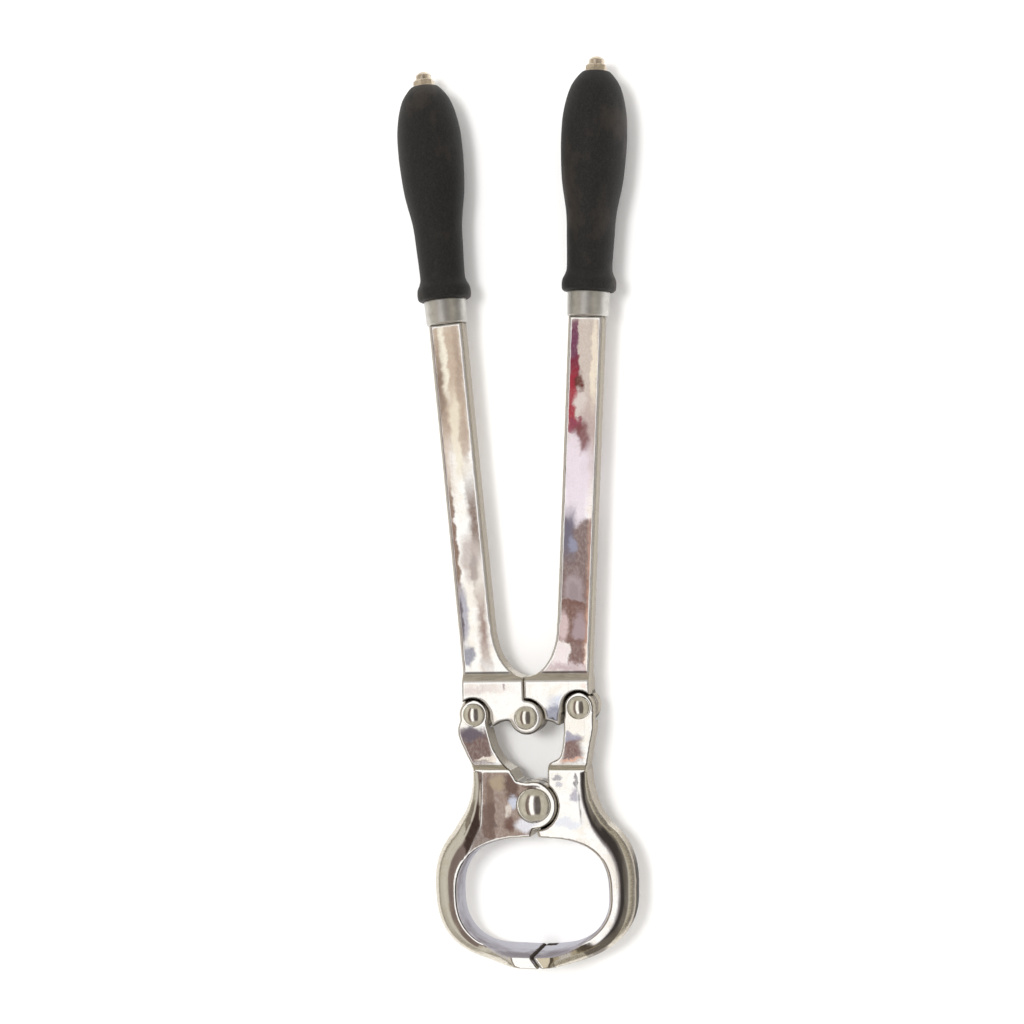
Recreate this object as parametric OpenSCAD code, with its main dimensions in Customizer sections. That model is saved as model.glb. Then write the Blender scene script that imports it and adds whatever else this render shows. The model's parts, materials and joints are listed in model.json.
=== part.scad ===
// Livestock castrator: compound lever pincers of forged steel with turned grips.
// The tool lies flat, as on a bench: +Y runs to the grips and +Z is the side with the pin heads.
// All outlines are drawn about the jaw pivot and moved to the middle of the tool at the end.

/* [Linkage] */
// Half of the distance between the two link pins with the jaws closed
link_half_span = 28.9; // [27.5:0.1:30.5]
// Height of the line through the link pins above the jaw pivot
link_height = 49.7; // [48:0.1:53]
// How far the centre pin lies below that line, just past its dead centre
toggle_drop = 3.3; // [2.5:0.1:4.5]
// Lean of the linkage to the left of the handles' centre line, in degrees
linkage_tilt = 3.7; // [3:0.1:4.5]
// Whole angle that the handles open through, in degrees
handle_swing = 110; // [95:1:115]

/* [Pins] */
// Diameter of the shank of the three link pins
link_pin_d = 8; // [6:0.1:9]
// Diameter of the domed head of the link pins
link_head_d = 12.4; // [11.5:0.1:13.5]
// Height of the domed head of the link pins
link_head_h = 4; // [3:0.1:5]
// Diameter of the shank of the jaw pin
jaw_pin_d = 10; // [8:0.1:10.5]
// Diameter of the domed head of the jaw pin
jaw_head_d = 18.6; // [16:0.1:20]
// Height of the domed head of the jaw pin
jaw_head_h = 5.4; // [4:0.1:6.5]
// Straight part of every pin head below its dome
head_band = 1.4; // [0.8:0.1:2]
// Radial clearance of a pin in its bore
pin_fit = 0.05; // [0.02:0.01:0.1]
// Thickness of the washers at the back
washer_t = 1.4; // [1:0.1:1.8]
// Thickness of the link pins' nuts at the back
link_nut_t = 4.6; // [3:0.1:5.2]
// Width across the flats of the link pins' nuts
link_nut_w = 12.5; // [11:0.1:13]
// Thickness of the jaw pin's nut at the back
jaw_nut_t = 5.6; // [4:0.1:6.4]
// Width across the flats of the jaw pin's nut
jaw_nut_w = 16; // [14:0.1:18]
// How far each shank stands out of its nut
shank_end = 0.8; // [0.4:0.1:1.2]

/* [Handle] */
// Width of the flat bar
bar_w = 19; // [17:0.1:20]
// Thickness of the flat bar
bar_t = 10; // [8:0.1:12]
// Bevel on the long edges of the bar
bar_bevel = 0.9; // [0.4:0.1:1.5]
// Length of the bar from the plate to its shoulder under the ferrule
bar_len = 190; // [160:1:230]
// Outward lean of each bar, in degrees
handle_lean = 4; // [3:0.1:5]
// Thickness of the pivot plate
plate_t = 16; // [14:0.1:18]
// Distance from a link pin out to the side of the plate
plate_margin = 5.9; // [5:0.1:7]
// Height of the crotch between the handles over the centre pin
crotch_rise = 21.5; // [20:0.1:23]
// Height of the curved web above the crotch
web_rise = 28.5; // [22:0.5:34]
// Length of the slope where the bar grows into the plate
plate_slope = 4.4; // [3:0.1:5.5]
// Gap between the two plates where they meet
seam_gap = 0.3; // [0.2:0.05:0.5]
// Radius of the knuckle round the centre pin
knuckle_r = 9.3; // [8.6:0.1:9.8]
// Radius of the rear lug round a link pin
lug_r = 9.6; // [8.8:0.1:10]
// Diameter of the tang through the grip
tang_d = 8; // [7:0.1:9]
// Diameter of the threaded end of the tang
thread_d = 6; // [5:0.1:6.5]

/* [Grip] */
// Length of the turned grip
grip_len = 115.4; // [100:0.1:130]
// Largest diameter of the grip
grip_d = 34.8; // [32:0.1:35]
// Diameter of the bead at the ferrule
bead_d = 28.6; // [27:0.1:30]
// Diameter of the neck above the bead
neck_d = 24.2; // [23:0.1:26]
// Diameter of the flat end under the cap nut
grip_end_d = 15; // [13.5:0.1:17]
// Length of the ferrule
ferrule_len = 13.2; // [10:0.1:16]
// Diameter of the ferrule at the grip
ferrule_d = 22.6; // [21.5:0.1:23.5]
// Wall of the ferrule
ferrule_wall = 1.3; // [1:0.1:1.8]
// Diameter of the washer under the cap nut
grip_washer_d = 12.6; // [11.8:0.1:13.2]
// Thickness of the washer under the cap nut
grip_washer_t = 0.8; // [0.5:0.1:1.2]
// Width across the flats of the cap nut
cap_nut_w = 10.2; // [9.5:0.1:11]
// Height of the cap nut's hexagon
cap_hex_h = 3.2; // [2.5:0.1:4]
// Height of the cap nut's dome above the hexagon
cap_dome_h = 4.6; // [3.6:0.1:5.4]

/* [Jaws] */
// Thickness of the jaw bodies
body_t = 18; // [17:0.1:20]
// Thickness of the jaw arms
arm_t = 13; // [12:0.1:14]
// Radius of the eye round a link pin
eye_r = 8.2; // [7.6:0.1:8.4]
// Radius of the lobe round the jaw pin
lobe_r = 12.6; // [12:0.1:13]
// Gap round every lobe, eye and knuckle
turn_gap = 0.7; // [0.5:0.1:1.1]
// Gap between the front and rear halves of a lapped joint
lap_gap = 0.2; // [0.1:0.05:0.4]
// Slope where an arm grows into its body
arm_slope = 3; // [2:0.1:4]
// Half width of the opening inside the ring
ring_half_w = 41; // [38:0.1:45]
// Top of the opening below the jaw pivot
ring_top = 17.3; // [16.5:0.1:18.5]
// Height of the opening inside the ring
ring_h = 61; // [56:0.1:66]
// How far the ring's middle lies to the left of the jaw pivot
ring_shift = 2.2; // [1.5:0.1:3]
// Width of the ring bar at the side
ring_w = 14.4; // [12:0.1:16]
// Depth of the ring bar at the side
ring_depth = 17.2; // [15:0.1:20]
// Thickness of the jaws at the tips
tip_t = 6.4; // [5.5:0.1:8]
// Depth of the flat ended tips, which the tool lies on
tip_depth = 35; // [34:0.1:40]
// Gap between the closed tips
tip_gap = 0.8; // [0.5:0.1:1.2]
// Lean of the closed tips' meeting faces, in degrees
tip_slant = 36; // [25:1:45]

/* [Hidden] */
$fn = 96;
LEFT = -1;
RIGHT = 1;
FRONT = 1;
REAR = -1;

function turned(p, a) = [p.x * cos(a) - p.y * sin(a), p.x * sin(a) + p.y * cos(a)];
function blend(a, b, k) = a + (b - a) * k;
function smooth(k) = let (c = min(1, max(0, k))) c * c * (3 - 2 * c);

// Pins, drawn with the jaw pivot at the origin
centre_height = link_height - toggle_drop;
centre_at = turned([0, centre_height], linkage_tilt);
left_link_at = turned([-link_half_span, link_height], linkage_tilt);
right_link_at = turned([link_half_span, link_height], linkage_tilt);

// The jaw pivot of the right jaw is a slot, as long as the linkage strays from even turning
handle_reach = norm([link_half_span, toggle_drop]);
jaw_reach = norm([link_half_span, link_height]);
start_dip = -asin(toggle_drop / handle_reach);
start_lean = asin(link_half_span / jaw_reach);
end_lean = asin(handle_reach * cos(start_dip + handle_swing / 2) / jaw_reach);
mid_dip = start_dip + handle_swing / 4;
mid_lean = (start_lean + end_lean) / 2;
slot_travel = 2 * (handle_reach * cos(mid_dip) - jaw_reach * sin(mid_lean)) + 0.25;
slot_spare = 0.35;
slot_turn = linkage_tilt - (start_lean - end_lean) / 2;

// Handle outline, from the centre pin outwards and up
plate_half_w = link_half_span + plate_margin;
bar_foot = [plate_half_w - bar_w / 2, crotch_rise];
web_top = crotch_rise + web_rise;
web_half_w = bar_foot.x + web_rise * tan(handle_lean) - bar_w / 2 / cos(handle_lean);
knuckle_recess = knuckle_r + turn_gap;
eye_recess = eye_r + turn_gap;
lug_recess = lug_r + turn_gap;
lobe_recess = lobe_r + turn_gap;
seam_offset = 0.9;
plate_foot = 5.2;
plate_heel = 9.5;
recess_bevel = 0.4;
lobe_bevel = 0.7;

// Stack of the grip along the handle
grip_at = bar_len + ferrule_len;
grip_top = grip_at + grip_len;
nut_at = grip_top + grip_washer_t;
handle_top = nut_at + cap_hex_h + cap_dome_h;
ferrule_floor = 2.4;
spigot_len = ferrule_len - ferrule_floor;
tang_fit = 0.2;
tang_root = 6;
thread_free = 1;
thread_in_nut = cap_hex_h + 1.6;

// Ring of the jaws
ring_half_h = ring_h / 2;
ring_at = [-ring_shift, -ring_top - ring_half_h];
crease_x = 0.63 * ring_half_w;
arm_foot = 18.5;
ring_from = 38;
ring_step = 4;
flare_from = 30;
flare_to = 6;
crest = tip_depth / 2 + 1;
face_step = 0.05;

// Where the tool lies: its middle over the origin, on the tips
tool_bottom = ring_top + ring_h + tip_t;
tool_top = centre_at.y + crotch_rise + handle_top * cos(handle_lean);
lie = [-centre_at.x, (tool_bottom - tool_top) / 2, tip_depth / 2];

module placed() {
    translate(lie)
        children();
}

// Half space in front of or behind the lap, cut as a round pocket about a pin
module lap_pocket(at, r, face) {
    translate([at.x, at.y, face > 0 ? -lap_gap / 2 : lap_gap / 2 - tip_depth])
        cylinder(r = r, h = tip_depth);
}

// Bevelled mouth of a round pocket in the front face at height z
module pocket_mouth(at, r, z) {
    translate([at.x, at.y, z - recess_bevel])
        cylinder(r1 = r, r2 = r + 2 * recess_bevel, h = 2 * recess_bevel);
}

// Round lobe about a pin, from the lap to the front or rear face
module lobe(at, r, t, face) {
    translate([at.x, at.y, face > 0 ? lap_gap / 2 : -t / 2]) {
        translate([0, 0, face > 0 ? 0 : lobe_bevel])
            cylinder(r = r, h = (t - lap_gap) / 2 - lobe_bevel);
        translate([0, 0, face > 0 ? (t - lap_gap) / 2 - lobe_bevel : 0])
            cylinder(r1 = face > 0 ? r : r - lobe_bevel, r2 = face > 0 ? r - lobe_bevel : r,
                     h = lobe_bevel);
    }
}

module bore(at, d) {
    translate([at.x, at.y, -tip_depth])
        cylinder(d = d + 2 * pin_fit, h = 2 * tip_depth);
}

// Solid between an outline seen from above and a profile of height along Y
module slab(half_w, profile) {
    intersection() {
        translate([0, 0, -tip_depth])
            linear_extrude(2 * tip_depth)
                children();
        rotate([90, 0, 90])
            translate([0, 0, -half_w])
                linear_extrude(2 * half_w)
                    polygon(concat(profile, [for (i = [len(profile) - 1 : -1 : 0]) [profile[i].x, -profile[i].y]]));
    }
}

// Puts children, drawn along +Y from the bar's foot, on one handle
module on_handle(side) {
    translate([centre_at.x + side * bar_foot.x, centre_at.y + bar_foot.y, 0])
        rotate(-side * handle_lean)
            children();
}

// Web and plate of one handle, drawn for the right side about the centre pin
module plate_outline(pin, seam) {
    web = [for (t = [10 : 8 : 90]) [web_half_w * sin(t), web_top - web_rise * cos(t)]];
    polygon(concat(
        [[seam, 0], [seam, crotch_rise]],
        web,
        [[web_half_w + bar_w / 2, web_top], [plate_half_w, crotch_rise + plate_slope / 2]],
        [[plate_half_w, pin.y], pin, [pin.x - plate_heel, pin.y - 3], [pin.x - plate_heel - 0.7, -plate_foot]],
        [[14, -2.4], [8, -1.4]]));
}

module handle(side) {
    pin = side < 0 ? left_link_at : right_link_at;
    knuckle_face = side < 0 ? FRONT : REAR;
    seam = side < 0 ? seam_offset : seam_gap - seam_offset;
    profile = [
        [-plate_half_w, plate_t / 2], [crotch_rise - plate_slope / 2, plate_t / 2],
        [crotch_rise + plate_slope / 2, bar_t / 2], [web_top, bar_t / 2]
    ];
    difference() {
        union() {
            difference() {
                translate([centre_at.x, centre_at.y, 0])
                    slab(2 * plate_half_w, profile)
                        mirror([side < 0 ? 1 : 0, 0])
                            plate_outline([side * (pin.x - centre_at.x), pin.y - centre_at.y], seam);
                lap_pocket(pin, eye_recess, FRONT);
                pocket_mouth(pin, eye_recess, plate_t / 2);
                lap_pocket(centre_at, knuckle_recess, -knuckle_face);
            }
            lobe(pin, lug_r, plate_t, REAR);
            lobe(centre_at, knuckle_r, plate_t, knuckle_face);
            on_handle(side)
                bar();
        }
        bore(pin, link_pin_d);
        bore(centre_at, link_pin_d);
    }
    on_handle(side)
        tang();
}

// Flat bar with bevelled long edges, from the plate's slope to its shoulder
module bar() {
    w = bar_w / 2;
    t = bar_t / 2;
    b = bar_bevel;
    section = [[-w, b - t], [b - w, -t], [w - b, -t], [w, b - t], [w, t - b], [w - b, t], [b - w, t], [-w, t - b]];
    translate([0, plate_slope / 2, 0])
        rotate([-90, 0, 0])
            linear_extrude(bar_len - plate_slope / 2)
                polygon(section);
}

// Round tang through ferrule and grip, rooted in the bar, its thinner threaded end in the cap nut
module tang() {
    root = bar_len - tang_root;
    translate([0, root, 0])
        rotate([-90, 0, 0]) {
            cylinder(d = tang_d, h = grip_top - thread_free - root);
            cylinder(d = thread_d, h = nut_at + thread_in_nut - root);
        }
}

module left_handle() {
    color("silver")
        placed()
            handle(LEFT);
}

module right_handle() {
    color("silver")
        placed()
            handle(RIGHT);
}

// Inner edge of the ring at an angle, drawn for the right side about the ring's middle
function rim(a, side) =
    let (n = a > 0 ? (side < 0 ? 2.4 : 3) : (side < 0 ? 2.6 : 2.1))
    [
        ring_half_w * sign(cos(a)) * pow(abs(cos(a)), 2 / n),
        ring_half_h * sign(sin(a)) * pow(abs(sin(a)), 2 / n)
    ];

// Outward direction of that edge
function rim_out(a, side) =
    let (d = rim(a + 1, side) - rim(a - 1, side))
    [d.y, -d.x] / norm(d);

// Width of the ring bar: wider up to the shoulder, thinner down to the tip
function bar_width(a) =
    a > 0 ? ring_w + 2 * sin(2 * a) : tip_t + (ring_w - tip_t) * pow(cos(a), 2);

// Width of the shoulder at the arm's foot, outside the body's crease
function shoulder_w(side) = side < 0 ? 4.8 : 5.6;

// How far the ring bar has flared into the tip, from 0 to 1
function flare(p) = 1 - smooth((p.x - flare_to) / (flare_from - flare_to));

// Share of the ring bar's depth at the front band, facet and outer side: the right jaw's band is flatter
function shares(side) = side < 0 ? [0.88, 0.62, 0.26] : [0.97, 0.74, 0.42];

// One section of the ring bar: inner rim, front band, sloping outer facet and their mirror images.
// full goes from 0 to 1, for a plain block; rim_k is how much of the inner rim's bevel there is.
function ring_section(side, inner, outer, depth, full, rim_k) =
    let (
        across = outer - inner,
        edge = blend(1, 0.88, rim_k),
        band = blend(shares(side)[0], 1, full),
        facet = blend(shares(side)[1], 0.98, full),
        flank = blend(shares(side)[2], 0.95, full),
        steps = [
            [0, edge], [0.1, 1], [0.48, band], [0.8, facet], [1, flank],
            [1, -flank], [0.8, -facet], [0.48, -band], [0.1, -1], [0, -edge]
        ]
    )
    [for (s = steps) [inner.x + across.x * s.x, inner.y + across.y * s.x, depth * s.y]];

// Half ring with its shoulder and tip, drawn for the right side about the ring's middle
module ring_bar(side) {
    up = [0, -ring_at.y];
    inside = [[-1, arm_foot], [-0.9, 11], [-0.8, 3.5], [-0.5, -3.5], [0, -10]];
    outside = [[0.2, arm_foot], [0.9, 11], [2.6, 3.5], [5.8, -3.5], [10, -9.5]];
    start = [crease_x, 0] + up;
    shoulder = [
        for (i = [0 : len(inside) - 1])
            ring_section(side, start + inside[i], start + outside[i] + [shoulder_w(side), 0],
                         body_t / 2 - face_step, 0.8 - 0.2 * i, 0)
    ];
    round_part = [
        for (a = [ring_from : -ring_step : -98])
            let (
                inner = rim(a, side),
                k = flare(inner),
                down = smooth((ring_from - a) / ring_from),
                depth = blend(blend(body_t, ring_depth, down) / 2 - face_step, crest, k)
            )
            ring_section(side, inner, inner + rim_out(a, side) * bar_width(a), depth, k, down)
    ];
    rings = concat(shoulder, round_part);
    n = len(rings[0]);
    last = len(rings) - 1;
    faces = concat(
        [for (i = [0 : last - 1], j = [0 : n - 1])
            each [
                [i * n + j, i * n + (j + 1) % n, (i + 1) * n + j],
                [i * n + (j + 1) % n, (i + 1) * n + (j + 1) % n, (i + 1) * n + j]
            ]],
        [[for (j = [n - 1 : -1 : 0]) j]],
        [[for (j = [0 : n - 1]) last * n + j]]
    );
    mirror([side < 0 ? 1 : 0, 0, 0])
        polyhedron([for (r = rings) each r], faces);
}

// Body and arm of one jaw seen from the front, the arm's two edges as smooth curves
module jaw_outline(side) {
    pin = side < 0 ? left_link_at : right_link_at;
    crease = ring_at.x + side * crease_x;
    foot = crease + side * (shoulder_w(side) - 0.4);
    under = [for (a = [ring_from + 2 : 6 : 88]) [ring_at.x + side * rim(a, side).x, ring_at.y + rim(a, side).y]];
    body = side < 0
        ? [[-1.6, 0.3 - ring_top], [-0.5, 1.5 - lobe_r], [-0.5, lobe_r - 1.5], [-8.6, 13], [-12, 18.6]]
        : [[1.4, 0.3 - ring_top], [0, 0], [8, 10]];
    inner_edge = side < 0
        ? [[-14, 19.7], [-17.2, 22.6], [-21.5, 29.7], [pin.x + 8.6, pin.y - 11.4], [pin.x + 6.9, pin.y - 4]]
        : [[8, 21.2], [9.6, 22.6], [14.4, 25.4], [pin.x - 9, pin.y - 16.6], [pin.x - 8.5, pin.y - 8],
           [pin.x - 7.7, pin.y - 2]];
    outer_edge = side < 0
        ? [[pin.x - 7.6, pin.y - 3], [pin.x - 9.2, pin.y - 9.2], [-38.6, 30.5], [foot, arm_foot - 0.5]]
        : [[pin.x + 8, pin.y - 2], [pin.x + 7.5, pin.y - 11.4], [31, 30.1], [foot, arm_foot - 0.5]];
    polygon(concat(under, body, smooth_line(inner_edge, 3), [pin], smooth_line(outer_edge, 3),
                   [[crease, arm_foot - 0.6], [crease + side * 2, -13]]));
}

module jaw(side) {
    pin = side < 0 ? left_link_at : right_link_at;
    lobe_face = side < 0 ? FRONT : REAR;
    profile = [
        [-ring_top - ring_half_h, body_t / 2], [arm_foot, body_t / 2],
        [arm_foot + arm_slope, arm_t / 2], [link_height + lug_recess, arm_t / 2]
    ];
    difference() {
        union() {
            difference() {
                union() {
                    slab(2 * plate_half_w, profile)
                        jaw_outline(side);
                    translate([ring_at.x, ring_at.y, 0])
                        ring_bar(side);
                }
                lap_pocket(pin, lug_recess, REAR);
                lap_pocket([0, 0], lobe_recess, -lobe_face);
            }
            lobe(pin, eye_r, arm_t, FRONT);
            lobe([0, 0], lobe_r, body_t, lobe_face);
        }
        bore(pin, link_pin_d);
        bore([0, 0], jaw_pin_d);
        if (side > 0)
            jaw_slot();
        tip_cuts(side);
    }
}

// Slot of the right jaw's rear lobe, towards the left, for the pivot that the linkage opens
module jaw_slot() {
    r = jaw_pin_d / 2 + slot_spare;
    rotate(slot_turn)
        translate([0, 0, -tip_depth]) {
            translate([-slot_travel, 0, 0])
                cylinder(r = r, h = 2 * tip_depth);
            translate([-slot_travel, -r, 0])
                cube([slot_travel, 2 * r, 2 * tip_depth]);
        }
}

// Flat front and rear ends of the tips, and the slanted face where the jaws meet
module tip_cuts(side) {
    meet = [ring_at.x + 0.4, ring_at.y - ring_half_h];
    for (face = [FRONT, REAR])
        translate([-tool_bottom, -2 * tool_bottom, face > 0 ? tip_depth / 2 : -3 * tip_depth / 2])
            cube([2 * tool_bottom, 2 * tool_bottom, tip_depth]);
    translate([meet.x, meet.y, -tip_depth])
        rotate(tip_slant)
            translate([side < 0 ? -tip_gap / 2 : tip_gap / 2 - ring_h, -ring_w, 0])
                cube([ring_h, ring_w * 2, 2 * tip_depth]);
}

module left_jaw() {
    color("lightgray")
        placed()
            jaw(LEFT);
}

module right_jaw() {
    color("lightgray")
        placed()
            jaw(RIGHT);
}

// Radius of the turned grip along its length: bead, neck, swell and rounded end
grip_profile = [
    [0, bead_d / 2 - 1.2], [0.012, bead_d / 2], [0.05, bead_d / 2], [0.085, neck_d / 2 + 0.5],
    [0.12, neck_d / 2], [0.24, neck_d / 2 + 0.5], [0.36, blend(neck_d, grip_d, 0.24) / 2],
    [0.5, blend(neck_d, grip_d, 0.76) / 2], [0.63, grip_d / 2 - 0.15], [0.72, grip_d / 2],
    [0.8, grip_d / 2 - 0.5], [0.88, grip_d / 2 - 2.2], [0.94, grip_d / 2 - 4.6],
    [0.98, grip_end_d / 2 + 2.2], [1, grip_end_d / 2]
];

// Point between the second and third of four points, on a smooth curve through all of them
function between(p, q, r, s, t) =
    0.5 * (2 * q + (r - p) * t + (2 * p - 5 * q + 4 * r - s) * t * t + (3 * q - p - 3 * r + s) * t * t * t);

function smooth_line(line, steps) =
    let (n = len(line))
    concat([for (i = [0 : n - 2], k = [0 : steps - 1])
        between(line[max(0, i - 1)], line[i], line[i + 1], line[min(n - 1, i + 2)], k / steps)],
        [line[n - 1]]);

module grip(side) {
    hole = tang_d / 2 + tang_fit;
    spigot_r = ferrule_d / 2 - ferrule_wall - tang_fit / 2;
    outside = [for (p = smooth_line(grip_profile, 3)) [p.y, p.x * grip_len]];
    on_handle(side)
        translate([0, grip_at, 0])
            rotate([-90, 0, 0])
                rotate_extrude()
                    polygon(concat([[hole, -spigot_len], [spigot_r, -spigot_len], [spigot_r, 0]],
                                   outside, [[hole, grip_len]]));
}

module left_grip() {
    color([0.1, 0.1, 0.1])
        placed()
            grip(LEFT);
}

module right_grip() {
    color([0.1, 0.1, 0.1])
        placed()
            grip(RIGHT);
}

// Cup shaped sleeve that holds the foot of the grip
module ferrule(side) {
    foot_d = ferrule_d - 0.8;
    on_handle(side)
        translate([0, bar_len, 0])
            rotate([-90, 0, 0])
                difference() {
                    cylinder(d1 = foot_d, d2 = ferrule_d, h = ferrule_len);
                    translate([0, 0, ferrule_floor - tang_fit])
                        cylinder(d = ferrule_d - 2 * ferrule_wall, h = ferrule_len);
                    translate([0, 0, -1])
                        cylinder(d = tang_d + 2 * tang_fit, h = ferrule_len);
                }
}

module left_ferrule() {
    color("gray")
        placed()
            ferrule(LEFT);
}

module right_ferrule() {
    color("gray")
        placed()
            ferrule(RIGHT);
}

module grip_washer(side) {
    on_handle(side)
        translate([0, grip_top, 0])
            rotate([-90, 0, 0])
                difference() {
                    cylinder(d = grip_washer_d, h = grip_washer_t);
                    translate([0, 0, -1])
                        cylinder(d = thread_d + 2 * tang_fit, h = grip_washer_t + 2);
                }
}

module left_grip_washer() {
    color("tan")
        placed()
            grip_washer(LEFT);
}

module right_grip_washer() {
    color("tan")
        placed()
            grip_washer(RIGHT);
}

// Domed cap standing on its flat side, of a given width and height
module dome(d, h) {
    ball_r = (d * d / 4 + h * h) / (2 * h);
    intersection() {
        translate([0, 0, h - ball_r])
            sphere(r = ball_r);
        cylinder(d = d, h = h + 1);
    }
}

module cap_nut(side) {
    dome_d = 0.82 * cap_nut_w;
    band = cap_dome_h - 0.26 * dome_d;
    on_handle(side)
        translate([0, nut_at, 0])
            rotate([-90, 0, 0])
                difference() {
                    union() {
                        cylinder(d = cap_nut_w / cos(30), h = cap_hex_h, $fn = 6);
                        cylinder(d = dome_d, h = cap_hex_h + band);
                        translate([0, 0, cap_hex_h + band])
                            dome(dome_d, cap_dome_h - band);
                    }
                    translate([0, 0, -1])
                        cylinder(d = thread_d + 2 * pin_fit, h = 1 + thread_in_nut + 0.3);
                }
}

module left_cap_nut() {
    color("burlywood")
        placed()
            cap_nut(LEFT);
}

module right_cap_nut() {
    color("burlywood")
        placed()
            cap_nut(RIGHT);
}

// Pin with a domed head on the front face, its shank through the joint and out of the nut
module headed_pin(at, face_z, head_d, head_h, shank_d, rear_z) {
    translate([at.x, at.y, 0]) {
        translate([0, 0, face_z]) {
            cylinder(d = head_d, h = head_band);
            translate([0, 0, head_band])
                dome(head_d, head_h - head_band);
        }
        translate([0, 0, rear_z])
            cylinder(d = shank_d, h = face_z - rear_z + 0.5);
    }
}

// Washers lie just off the face that turns under them
plate_washer_z = -plate_t / 2 - lap_gap / 2 - washer_t;
body_washer_z = -body_t / 2 - lap_gap / 2 - washer_t;
link_end_z = plate_washer_z - link_nut_t - shank_end;
jaw_end_z = body_washer_z - jaw_nut_t - shank_end;

module jaw_pin() {
    color("gainsboro")
        placed()
            headed_pin([0, 0], body_t / 2, jaw_head_d, jaw_head_h, jaw_pin_d, jaw_end_z);
}

module left_link_pin() {
    color("gainsboro")
        placed()
            headed_pin(left_link_at, arm_t / 2, link_head_d, link_head_h, link_pin_d, link_end_z);
}

module right_link_pin() {
    color("gainsboro")
        placed()
            headed_pin(right_link_at, arm_t / 2, link_head_d, link_head_h, link_pin_d, link_end_z);
}

module centre_pin() {
    color("gainsboro")
        placed()
            headed_pin(centre_at, plate_t / 2, link_head_d, link_head_h, link_pin_d, link_end_z);
}

module washer(at, z, d, hole_d) {
    translate([at.x, at.y, z])
        difference() {
            cylinder(d = d, h = washer_t);
            translate([0, 0, -1])
                cylinder(d = hole_d + 2 * pin_fit, h = washer_t + 2);
        }
}

link_washer_d = 2 * lug_r - 2.4;
jaw_washer_d = 2 * lobe_r - 2;

module jaw_pin_washer() {
    color("darkgray")
        placed()
            washer([0, 0], body_washer_z, jaw_washer_d, jaw_pin_d);
}

module left_link_washer() {
    color("darkgray")
        placed()
            washer(left_link_at, plate_washer_z, link_washer_d, link_pin_d);
}

module right_link_washer() {
    color("darkgray")
        placed()
            washer(right_link_at, plate_washer_z, link_washer_d, link_pin_d);
}

module centre_washer() {
    color("darkgray")
        placed()
            washer(centre_at, plate_washer_z, link_washer_d, link_pin_d);
}

module nut(at, z, w, t, hole_d) {
    translate([at.x, at.y, z - t])
        difference() {
            cylinder(d = w / cos(30), h = t, $fn = 6);
            translate([0, 0, -1])
                cylinder(d = hole_d + 2 * pin_fit, h = t + 2);
        }
}

module jaw_pin_nut() {
    color("darkgray")
        placed()
            nut([0, 0], body_washer_z, jaw_nut_w, jaw_nut_t, jaw_pin_d);
}

module left_link_nut() {
    color("darkgray")
        placed()
            nut(left_link_at, plate_washer_z, link_nut_w, link_nut_t, link_pin_d);
}

module right_link_nut() {
    color("darkgray")
        placed()
            nut(right_link_at, plate_washer_z, link_nut_w, link_nut_t, link_pin_d);
}

module centre_nut() {
    color("darkgray")
        placed()
            nut(centre_at, plate_washer_z, link_nut_w, link_nut_t, link_pin_d);
}

left_handle();
right_handle();
left_jaw();
right_jaw();
left_grip();
right_grip();
left_ferrule();
right_ferrule();
left_grip_washer();
right_grip_washer();
left_cap_nut();
right_cap_nut();
jaw_pin();
left_link_pin();
right_link_pin();
centre_pin();
jaw_pin_washer();
left_link_washer();
right_link_washer();
centre_washer();
jaw_pin_nut();
left_link_nut();
right_link_nut();
centre_nut();
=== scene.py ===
"""Looks of the livestock castrator: polished forgings, turned black grips and domed pins on a pale floor."""
import json
import math

import bmesh
import bpy
import numpy as np
from mathutils import Matrix, Vector, noise


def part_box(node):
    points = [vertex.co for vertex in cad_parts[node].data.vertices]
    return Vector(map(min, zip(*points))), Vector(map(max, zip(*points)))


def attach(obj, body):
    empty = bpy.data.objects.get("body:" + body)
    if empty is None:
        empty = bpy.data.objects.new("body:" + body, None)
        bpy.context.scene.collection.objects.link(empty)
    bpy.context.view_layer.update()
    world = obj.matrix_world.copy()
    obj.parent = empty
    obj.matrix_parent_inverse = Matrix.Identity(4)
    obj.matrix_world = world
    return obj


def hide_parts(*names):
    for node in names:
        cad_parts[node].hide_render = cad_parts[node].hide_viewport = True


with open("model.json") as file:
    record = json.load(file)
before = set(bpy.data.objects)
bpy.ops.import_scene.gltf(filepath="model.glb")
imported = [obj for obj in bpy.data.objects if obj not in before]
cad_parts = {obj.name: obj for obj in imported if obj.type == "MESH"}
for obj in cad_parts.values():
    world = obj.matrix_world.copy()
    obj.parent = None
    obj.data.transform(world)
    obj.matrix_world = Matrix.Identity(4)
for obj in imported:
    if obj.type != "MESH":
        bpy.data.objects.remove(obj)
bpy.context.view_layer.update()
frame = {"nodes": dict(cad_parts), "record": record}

MM = 0.001
SIDES = ("left", "right")
BODIES = {node: body for body, names in frame["record"]["behaviour"]["bodies"].items() for node in names}
SLOTS = {row["node"]: row["material_slot"] for row in frame["record"]["subparts"]}


# Camera, at the photograph's angle: above the tool, a little to its right

CAMERA_AT = Vector((255.8, 0.7, 1026.5)) * MM
LOOK_AT = Vector((-6.0, 0.7, 17.5)) * MM
CAMERA_ROLL = math.radians(1.8)
CAMERA_ANGLE = math.radians(29.4)
CAMERA_CLIP = (0.05, 20)


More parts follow.
